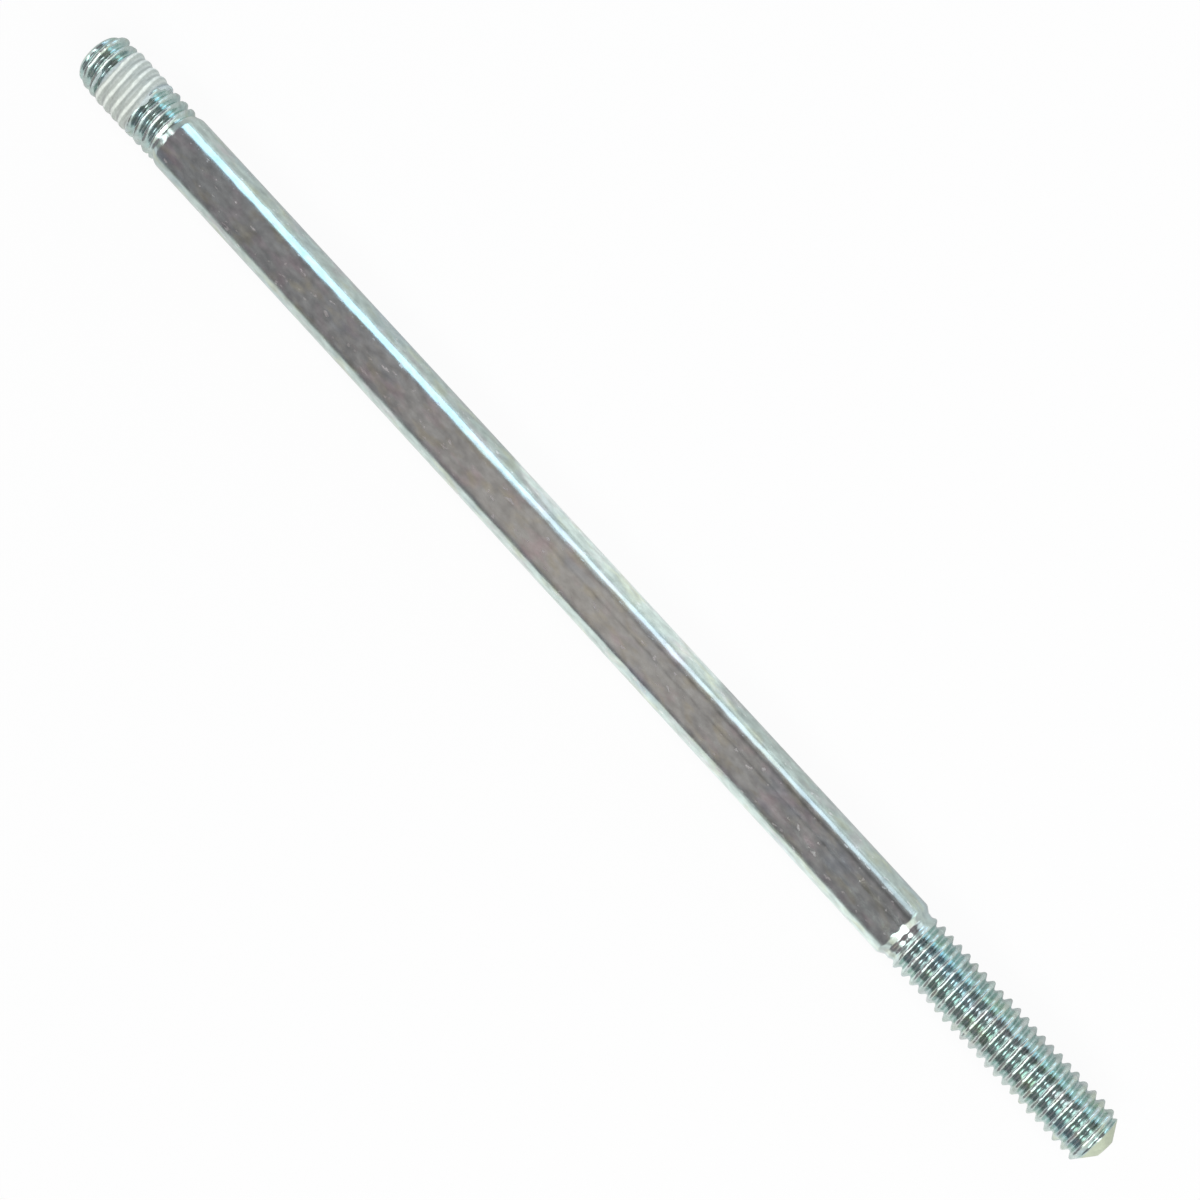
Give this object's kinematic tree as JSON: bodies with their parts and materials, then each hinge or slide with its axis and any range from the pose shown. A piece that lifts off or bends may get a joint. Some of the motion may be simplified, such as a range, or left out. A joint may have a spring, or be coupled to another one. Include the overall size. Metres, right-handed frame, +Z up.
{
  "type": "stud bolt",
  "caption": "Double-ended steel stud bolt: a long plain shank between a short tap end with a dried sealant band and a long nut end, both with right-hand coarse threads.",
  "frame": {"origin": "on the surface that the stud lies on, below the middle of its length", "axes": "+X along the stud from the tap end to the nut end, +Z up, away from the surface it lies on"},
  "size_m": [0.1806, 0.0082, 0.0082],
  "materials": {
    "zinc_plated_steel": "bright zinc plating with a faint blue-green cast over cold-drawn steel, fine specks and hair lines",
    "dried_sealant": "dried white thread sealant, chalky and slightly see-through between the crests"
  },
  "bodies": {
    "root": {"stud": "zinc_plated_steel", "sealant_band": "dried_sealant"}
  },
  "joints": []
}
